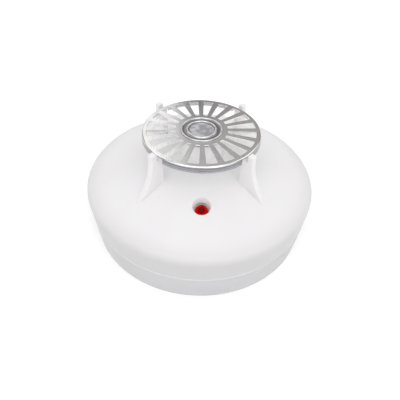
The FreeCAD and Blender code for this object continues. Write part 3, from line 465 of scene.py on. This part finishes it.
def cap_metal():
    """Drawn cap: turning rings round the axis, painted shade in the grooves and a mottled, duller sunk
    centre.
    """
    s = Shader("cap_aluminium", (0.80, 0.80, 0.80), 0.22, 1.0)
    radius, height = s.cylindrical()
    rings = s.noise(1.0, 2.0, 0.6, s.vector_of(radius, 2600))
    bright = s.mix(s.ramp(rings, 0.35, 0.7, 0.0, 1.0), (0.88, 0.875, 0.87), (0.68, 0.67, 0.66))
    depth = s.math("SUBTRACT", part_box("thermostat_cap")[1][2], height)
    # Painted shade in the cap's grooves.
    groove = s.math("MULTIPLY", s.ramp(depth, *CAP_GROOVE_SHADE_DEPTHS, 0.0, 1.0),
                    s.ramp(radius, *CAP_GROOVE_SHADE_STARTS, 0.0, 1.0))
    bright = s.mix(groove, bright, CAP_GROOVE_PAINTED_SHADE)
    patches = s.nodes.new("ShaderNodeTexVoronoi")
    patches.inputs["Scale"].default_value = 430
    patches.inputs["Randomness"].default_value = 0.7
    s.links.new(s.place, patches.inputs["Vector"])
    mottle = s.math("MULTIPLY", s.ramp(patches.outputs["Distance"], 0.40, 0.72, 1.0, 0.0),
                    s.ramp(s.noise(620, 2.0, 0.5), 0.25, 0.6, 0.55, 1.0))
    dull = s.mix(mottle, (0.60, 0.605, 0.635), (0.92, 0.915, 0.93))
    centre = s.ramp(radius, *CAP_CENTRE_ENDS, 1.0, 0.0)
    s.feed("Base Color", s.mix(centre, bright, dull))
    s.feed("Roughness", s.math("ADD", s.ramp(rings, 0.3, 0.7, 0.14, 0.24),
                               s.math("MULTIPLY", centre, 0.14)))
    s.bump(rings, 0.004 * MM, 0.5)
    return s.material


def red_diffuser():
    """Bright red scattering layer inside the status light."""
    s = Shader("led_diffuser", (0.95, 0.03, 0.02), 0.6, Specular_IOR_Level=0.0)
    s.mottle(1400, (0.95, 0.03, 0.02), (0.85, 0.02, 0.015))
    s.bump(s.noise(2600, 1.0), 0.01 * MM, 0.5)
    return s.material


def dark_core():
    """The chip's reflector cup, in shade behind the tinted epoxy."""
    s = Shader("led_core", (0.05, 0.001, 0.001), 0.7, Specular_IOR_Level=0.0)
    s.mottle(2200, (0.06, 0.001, 0.001), (0.03, 0.001, 0.001))
    return s.material


def lens_red():
    """Deep red tinted epoxy, partly clear, with faint haze."""
    s = Shader("led_red", (0.56, 0.002, 0.002), 0.08, Transmission_Weight=0.80, Specular_IOR_Level=0.06,
               IOR=1.15)
    s.mottle(900, (0.86, 0.004, 0.004), (0.78, 0.003, 0.003))
    s.feed("Roughness", s.ramp(s.noise(500, 1.0), 0.3, 0.7, 0.13, 0.18))
    return s.material


# ------------------------------------------------------------------ mesh helpers
class Builder:
    """Collects points, in millimetres, and the faces between rings of them."""

    def __init__(self):
        self.points = []
        self.faces = []

    def loop(self, points):
        """Adds points and gives their indices."""
        first = len(self.points)
        self.points += points
        return list(range(first, len(self.points)))

    def circle(self, radius, height, count, y=0.0):
        """A level loop round an upright axis through x = 0 and this y."""
        turns = [2 * math.pi * i / count for i in range(count)]
        return self.loop([(radius * math.cos(t), y + radius * math.sin(t), height) for t in turns])

    def bridge(self, a, b):
        """Faces between two closed loops of the same length."""
        for i in range(len(a)):
            k = (i + 1) % len(a)
            self.faces.append((a[i], a[k], b[k], b[i]))

    def revolve(self, profile, count, y=0.0, last=None):
        """A surface of revolution from (radius, height) pairs, going on from the last ring, if any.

        Radius 0 closes it in a point. Gives its own last ring."""
        pole = None
        for radius, height in profile:
            if radius == 0:
                pole = self.loop([(0, y, height)])[0]
                if last:
                    self.fan(last, pole)
                continue
            ring = self.circle(radius, height, count, y)
            if last:
                self.bridge(last, ring)
            elif pole is not None:
                self.fan(ring, pole)
            last = ring
        return last

    def fan(self, ring, pole):
        """Faces between a closed loop and one point."""
        for i in range(len(ring)):
            self.faces.append((ring[i], ring[(i + 1) % len(ring)], pole))

    def sheet(self, outlines):
        """Flat face inside the first outline and outside the others."""
        bm = bmesh.new()
        edges = []
        for outline in outlines:
            verts = [bm.verts.new(self.points[i]) for i in outline]
            edges += [bm.edges.new((verts[i - 1], verts[i])) for i in range(len(verts))]
        bm.verts.index_update()
        order = [i for outline in outlines for i in outline]
        filled = bmesh.ops.triangle_fill(bm, use_beauty=True, edges=edges, normal=(0, 0, 1))
        for face in filled["geom"]:
            if isinstance(face, bmesh.types.BMFace):
                self.faces.append(tuple(order[v.index] for v in face.verts))
        bm.free()

    def drop_loose(self):
        """Leaves out the points that no face uses."""
        used = sorted({i for face in self.faces for i in face})
        place = {old: new for new, old in enumerate(used)}
        self.points = [self.points[i] for i in used]
        self.faces = [tuple(place[i] for i in face) for face in self.faces]

    def mesh(self, name, sharp=35):
        """The mesh in metres, facing outwards, smooth except where it turns sharply."""
        mesh = bpy.data.meshes.new(name)
        mesh.from_pydata([(x * MM, y * MM, z * MM) for x, y, z in self.points], [], self.faces)
        bm = bmesh.new()
        bm.from_mesh(mesh)
        bmesh.ops.recalc_face_normals(bm, faces=bm.faces)
        bm.to_mesh(mesh)
        bm.free()
        mesh.shade_smooth()
        mesh.set_sharp_from_angle(angle=math.radians(sharp))
        return mesh


def arc(centre, radius, start, end, steps):
    """Points on an arc between two angles in degrees, both ends included."""
    turns = [math.radians(start + (end - start) * i / steps) for i in range(steps + 1)]
    return [(centre[0] + radius * math.cos(t), centre[1] + radius * math.sin(t)) for t in turns]


def new_piece(name, mesh, body, slot, replaces=(), material=None):
    """Links a piece to its body and slot. Its material is the slot's, unless one is given."""
    piece = bpy.data.objects.new(name, mesh)
    bpy.context.collection.objects.link(piece)
    mesh.materials.append(material or MATERIALS[slot])
    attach(piece, body)
    if replaces:
        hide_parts(*replaces)
    return piece


def paint(node, material):
    """Gives a CAD node one material."""
    slots = NODES[node].data.materials
    slots.clear()
    slots.append(material)


# --------------------------------------------------------------- heat collector
COLLECTOR_RADIUS = 24.4
SLOT_COUNT = 20
COLUMNS_PER_SLOT = 12
SLOT_INNER, SLOT_OUTER = 10.8, 22.3
SPOKE_INNER, SPOKE_OUTER = 1.75, 2.6
SLOT_CORNER = 0.3
SHEET = 0.6
BEND = 0.9
HOLE_RADIUS = 7.7
RIM_MARGIN = 0.05
FIN_ANGLES = (45, 135, 225, 315)
NOTCH_HALF_TURN = 7.5
# Outside of the skirt, with its groove and hem: how far in from the rim, and how high over the edge.
SKIRT_OUTSIDE = ((0.03, 1.10), (0.13, 0.88), (0.03, 0.66), (0.0, 0.48), (0.0, 0.16), (0.06, 0.04),
                 (0.18, 0.0))
SKIRT_EDGE_INSIDE = ((0.12, 0.0), (0.0, 0.10))


def round_corner(corner, back, ahead, radius, steps=4):
    """Points of the arc that rounds a corner between the ways back and ahead."""
    half = back.angle(ahead) / 2
    centre = corner + (back + ahead).normalized() * radius / math.sin(half)
    start = corner + back * radius / math.tan(half) - centre
    end = corner + ahead * radius / math.tan(half) - centre
    first = math.atan2(start.y, start.x)
    turn = (math.atan2(end.y, end.x) - first + math.pi) % (2 * math.pi) - math.pi
    angles = [first + turn * i / steps for i in range(steps + 1)]
    return [centre + radius * Vector((math.cos(t), math.sin(t))) for t in angles]


def along_circle(start, end, steps):
    """Points between two points of a circle about the axis, without its ends."""
    first, last = math.atan2(start.y, start.x), math.atan2(end.y, end.x)
    angles = [first + (last - first) * i / steps for i in range(1, steps)]
    return [start.length * Vector((math.cos(t), math.sin(t))) for t in angles]


def slot_outline(middle, grow, height):
    """Points round the slot centred on an angle, widened by grow on every side."""
    half = math.pi / SLOT_COUNT
    corners = []
    inner, outer = (SLOT_INNER - grow, SPOKE_INNER), (SLOT_OUTER + grow, SPOKE_OUTER)
    for (radius, width), side in ((inner, -1), (outer, -1), (outer, 1), (inner, 1)):
        offset = width / 2 - grow
        along = math.sqrt(radius ** 2 - offset ** 2)
        corners.append(Vector((along * math.cos(half) + offset * math.sin(half),
                               side * (along * math.sin(half) - offset * math.cos(half)))))
    a, b, c, d = corners
    out = (b - a).normalized()
    back = (d - c).normalized()

    def round_the_axis(corner, side):
        return Vector((-corner.y, corner.x)).normalized() * side

    radius = SLOT_CORNER + grow
    at_a = round_corner(a, round_the_axis(a, 1), out, radius)
    at_b = round_corner(b, -out, round_the_axis(b, 1), radius)
    at_c = round_corner(c, round_the_axis(c, -1), back, radius)
    at_d = round_corner(d, -back, round_the_axis(d, -1), radius)
    points = at_a + at_b + along_circle(at_b[-1], at_c[0], 5) + at_c + at_d
    points += along_circle(at_d[-1], at_a[0], 3)
    cos, sin = math.cos(middle), math.sin(middle)
    return [(p.x * cos - p.y * sin, p.x * sin + p.y * cos, height) for p in points]


def edge_layers(top, under):
    """How far a punched edge stands back from its true size, layer by layer down the sheet.

    The first and last layers lie in the flats, so that the rounding doesn't shade them."""
    return ((0.09, top), (0.06, top), (0.02, top - 0.015), (0.0, top - 0.055),
            (0.0, under + 0.03), (0.03, under), (0.06, under))


def punched_edge(b, loops):
    """Faces down the wall of a hole; gives its loops at the top and at the bottom."""
    for above, below in zip(loops, loops[1:]):
        b.bridge(above, below)
    return loops[0], loops[-1]


def collector_sheet(b, top, under, rim_radius):
    """The flat of the collector with its slots; gives the loops of its outer edge."""
    count = SLOT_COUNT * COLUMNS_PER_SLOT
    outer = [b.circle(rim_radius, height, count) for height in (top, under)]
    flat = [b.circle(rim_radius - RIM_MARGIN, height, count) for height in (top, under)]
    for edge, inside in zip(outer, flat):
        b.bridge(edge, inside)
    layers = edge_layers(top, under)
    slots = []
    for i in range(SLOT_COUNT):
        middle = math.tau * (i + 0.5) / SLOT_COUNT
        slots.append(punched_edge(b, [b.loop(slot_outline(middle, *layer)) for layer in layers]))
    centre = punched_edge(b, [b.circle(HOLE_RADIUS + grow, height, count // 2) for grow, height in layers])
    for side in (0, 1):
        b.sheet([flat[side], centre[side]] + [slot[side] for slot in slots])
    return outer


def is_notched(angle):
    """Whether the rim is cut away here, over a fin."""
    return any(abs(angle - fin) < NOTCH_HALF_TURN for fin in FIN_ANGLES)


def heat_collector():
    """Slotted disc with punched edges, a rolled rim and a skirt with a shallow groove and a hem."""
    (_, _, low), (_, _, top) = node_box("heat_collector")
    under = top - SHEET
    radius = COLLECTOR_RADIUS
    bend_centre = (radius - BEND, top - BEND)
    b = Builder()
    loop_top, loop_under = collector_sheet(b, top, under, bend_centre[0])
    level = math.degrees(math.asin((under - bend_centre[1]) / BEND))
    shared = arc(bend_centre, BEND, 90, level, 6)[1:]
    inside = radius - SHEET
    skirt = arc(bend_centre, BEND, level, 0, 2)[1:]
    skirt += [(radius - inset, low + height) for inset, height in SKIRT_OUTSIDE]
    skirt += [(inside + inset, low + height) for inset, height in SKIRT_EDGE_INSIDE]
    skirt += [(inside, bend_centre[1])]
    skirt += arc(bend_centre, BEND - SHEET, 0, 90, 3)[1:-1]
    count = len(loop_top)
    step = 360 / count
    columns = []
    for i in range(count):
        turn = math.radians(i * step)
        points = [(r * math.cos(turn), r * math.sin(turn), z) for r, z in shared + skirt]
        indices = b.loop(points)
        columns.append(([loop_top[i]] + indices[:len(shared)], indices[len(shared):] + [loop_under[i]]))
    for i in range(count):
        (rim, full), (next_rim, next_full) = columns[i], columns[(i + 1) % count]
        add_strip(b, rim, next_rim)
        if is_notched((i + 0.5) * step):
            add_strip(b, [rim[-1], full[-1]], [next_rim[-1], next_full[-1]])
        else:
            add_strip(b, [rim[-1]] + full, [next_rim[-1]] + next_full)
        if is_notched((i + 0.5) * step) != is_notched(((i - 0.5) * step) % 360):
            b.faces.append(tuple([rim[-1]] + full))
    b.drop_loose()
    return new_piece("heat_collector_disc", b.mesh("heat_collector_disc", 40), "head",
                     "collector_aluminium", ["heat_collector"])


def add_strip(b, here, there):
    """Faces between two open rows of points of the same length."""
    for i in range(len(here) - 1):
        b.faces.append((here[i], here[i + 1], there[i + 1], there[i]))


# ------------------------------------------------------------------- thermostat
CAP_FLOOR_RADIUS = 4.75
CAP_FLOOR_DEPTH = 0.82
CAP_VALLEY_DEPTH = 0.56
CAP_BODY_RADIUS = 7.50
CAP_WALL = 0.40
CAP_EDGE = 0.06
INNER_BEAD, INNER_BEAD_DEPTH = 5.85, 0.56
OUTER_BEAD, OUTER_BEAD_DEPTH = 8.27, 0.52
BEAD_RADIUS = 0.50
CAP_SHOULDER_DEPTH = 0.50
CAP_SHOULDER_ROUND = 0.12
CAP_LIP = 0.45
# Radii between which the inside slopes down under the sunk centre, and the sheet over each level.
CAP_SLOPE = (6.0, 4.9)
CAP_VALLEY_SHEET = 0.45
CAP_FLOOR_SHEET = 0.38
# Radius, and height over the sunk centre in the bend up to the inner bead, or over the valley
# between the beads.
CAP_FLOOR_BEND = ((5.12, 0.01), (5.27, 0.05), (5.33, 0.14))
CAP_VALLEY = ((6.42, 0.10), (6.55, 0.02), (6.85, 0.0), (7.40, 0.0), (7.66, 0.02), (7.76, 0.07))
DIMPLES_ROUND = 6
DIMPLE_RISE = 0.035
DIMPLE_RADIUS = 0.62
DIMPLE_CIRCLE = 2.55
CAP_FLOOR_RINGS = 19


def dimple_height(x, y):
    """Height of the soft round dimples on the cap's sunk centre: one in the middle, six round it."""
    rise = 0.0
    for i in range(DIMPLES_ROUND + 1):
        turn = math.tau * i / DIMPLES_ROUND
        reach = DIMPLE_CIRCLE if i else 0.0
        away = math.hypot(x - reach * math.cos(turn), y - reach * math.sin(turn)) / DIMPLE_RADIUS
        rise += DIMPLE_RISE * math.exp(-away ** 4)
    return rise


def thermostat_cap():
    """Drawn cap: a sunk centre with soft dimples, two rolled beads and a straight wall."""
    (_, _, low), (_, _, top) = node_box("thermostat_cap")
    floor = top - CAP_FLOOR_DEPTH
    valley = top - CAP_VALLEY_DEPTH
    b = Builder()
    count = 160
    rings = [(CAP_FLOOR_RADIUS * i / CAP_FLOOR_RINGS, floor) for i in range(CAP_FLOOR_RINGS + 1)]
    floor_edge = b.revolve(rings, count)
    b.points = [(x, y, z + dimple_height(x, y)) for x, y, z in b.points]
    shoulder = top - CAP_SHOULDER_DEPTH
    inner_radius = CAP_BODY_RADIUS - CAP_WALL
    under_valley, under_floor = valley - CAP_VALLEY_SHEET, floor - CAP_FLOOR_SHEET
    profile = [(radius, floor + height) for radius, height in CAP_FLOOR_BEND]
    profile += arc((INNER_BEAD, top - INNER_BEAD_DEPTH), BEAD_RADIUS, 178, 20, 14)
    profile += [(radius, valley + height) for radius, height in CAP_VALLEY]
    profile += arc((OUTER_BEAD, top - OUTER_BEAD_DEPTH), BEAD_RADIUS, 172, -5, 14)
    profile += [(OUTER_BEAD + CAP_LIP, shoulder), (CAP_BODY_RADIUS + CAP_SHOULDER_ROUND, shoulder),
                (CAP_BODY_RADIUS, shoulder - CAP_SHOULDER_ROUND), (CAP_BODY_RADIUS, low + CAP_EDGE),
                (CAP_BODY_RADIUS - CAP_EDGE, low), (inner_radius + CAP_EDGE, low),
                (inner_radius, low + CAP_EDGE), (inner_radius, under_valley),
                (CAP_SLOPE[0], under_valley), (CAP_SLOPE[1], under_floor), (0, under_floor)]
    b.revolve(profile, count, last=floor_edge)
    return new_piece("thermostat_cap_drawn", b.mesh("thermostat_cap_drawn", 50), "head",
                     "cap_aluminium", ["thermostat_cap"])


# ----------------------------------------------------------------- status light
LED_RADIUS = 2.6
LED_FLANGE = 1.0
LED_FLANGE_ROUND = 0.15
STEM_RADIUS = 0.3
STEM_FOOT = 0.8
# Radius and height over the dome's centre: the chip's cup on its stem, and the layer round it.
CUP = ((STEM_RADIUS, -0.2), (1.15, 0.35), (1.15, 0.95), (1.01, 0.95), (STEM_RADIUS, 0.55), (0, 0.55))
DIFFUSER = ((0, -0.55), (2.38, -0.55), (2.48, -0.45), (2.48, -0.25), (2.38, -0.15), (0, -0.15))


def status_light():
    """Epoxy lens with a domed top, and the metal cup of the chip that shows darkly inside it."""
    (left, front, low), (right, back, top) = node_box("status_led")
    centre = top - LED_RADIUS
    y = (front + back) / 2
    flange, rounded = (right - left) / 2, LED_FLANGE_ROUND
    shoulder = low + LED_FLANGE
    profile = [(0, low), (flange - rounded, low), (flange, low + rounded), (flange, shoulder - rounded),
               (flange - rounded, shoulder), (LED_RADIUS, shoulder)]
    profile += arc((0, centre), LED_RADIUS, 0, 90, 20)[:-1] + [(0, top)]
    cup = [(0, low + STEM_FOOT), (STEM_RADIUS, low + STEM_FOOT)]
    cup += [(radius, centre + height) for radius, height in CUP]
    diffuser = [(radius, centre + height) for radius, height in DIFFUSER]
    add_revolved("status_light_lens", profile, 72, y, ["status_led"])
    add_revolved("status_light_cup", cup, 32, y, material=dark_core())
    add_revolved("status_light_diffuser", diffuser, 48, y, material=red_diffuser())


def add_revolved(name, profile, count, y, replaces=(), material=None):
    """A part of the light, round an upright axis through x = 0 and this y."""
    b = Builder()
    b.revolve(profile, count, y)
    new_piece(name, b.mesh(name, 60 if replaces else 35), "head", "led_red", replaces, material)


# ------------------------------------------------------------------------ build
def make_materials():
    """Every material slot's material, by the slot's name."""
    made = {**plain_metals(), **small_parts()}
    made["cover_abs"] = moulded("cover_abs", (0.905, 0.893, 0.899), 0.42, 0.006, 0.5, cover_painted_light)
    # The base's white is coloured much darker than the cover's, as painted shade of its wall.
    made["base_abs"] = moulded("base_abs", (0.632, 0.626, 0.637), 0.46, 0.010, 0.3, base_painted_highlight)
    made["chassis_abs"] = moulded("chassis_abs", (0.66, 0.66, 0.66), 0.50, 0.02)
    made["collector_aluminium"] = collector_metal()
    made["cap_aluminium"] = cap_metal()
    made["led_red"] = lens_red()
    return made


def paint_nodes(materials):
    for part in frame["record"]["subparts"]:
        paint(part["node"], materials[part["material_slot"]])


FLOOR_RADIUS = 3.0
FLOOR_GLOW = 0.20


def make_floor():
    """Plain pale floor that the detector stands on."""
    mesh = bpy.data.meshes.new("floor")
    bm = bmesh.new()
    bmesh.ops.create_circle(bm, cap_ends=True, radius=FLOOR_RADIUS, segments=96)
    bm.to_mesh(mesh)
    bm.free()
    floor = bpy.data.objects.new("floor", mesh)
    bpy.context.collection.objects.link(floor)
    shader = Shader("floor_white", (0.93, 0.93, 0.93), 0.7)
    shader.feed("Roughness", shader.ramp(shader.noise(60), 0.3, 0.7, 0.65, 0.8))
    shader.set("Emission Color", (1, 1, 1, 1))
    shader.set("Emission Strength", FLOOR_GLOW)
    mesh.materials.append(shader.material)


make_camera()
make_light()
make_floor()
MATERIALS = make_materials()
paint_nodes(MATERIALS)
heat_collector()
thermostat_cap()
status_light()
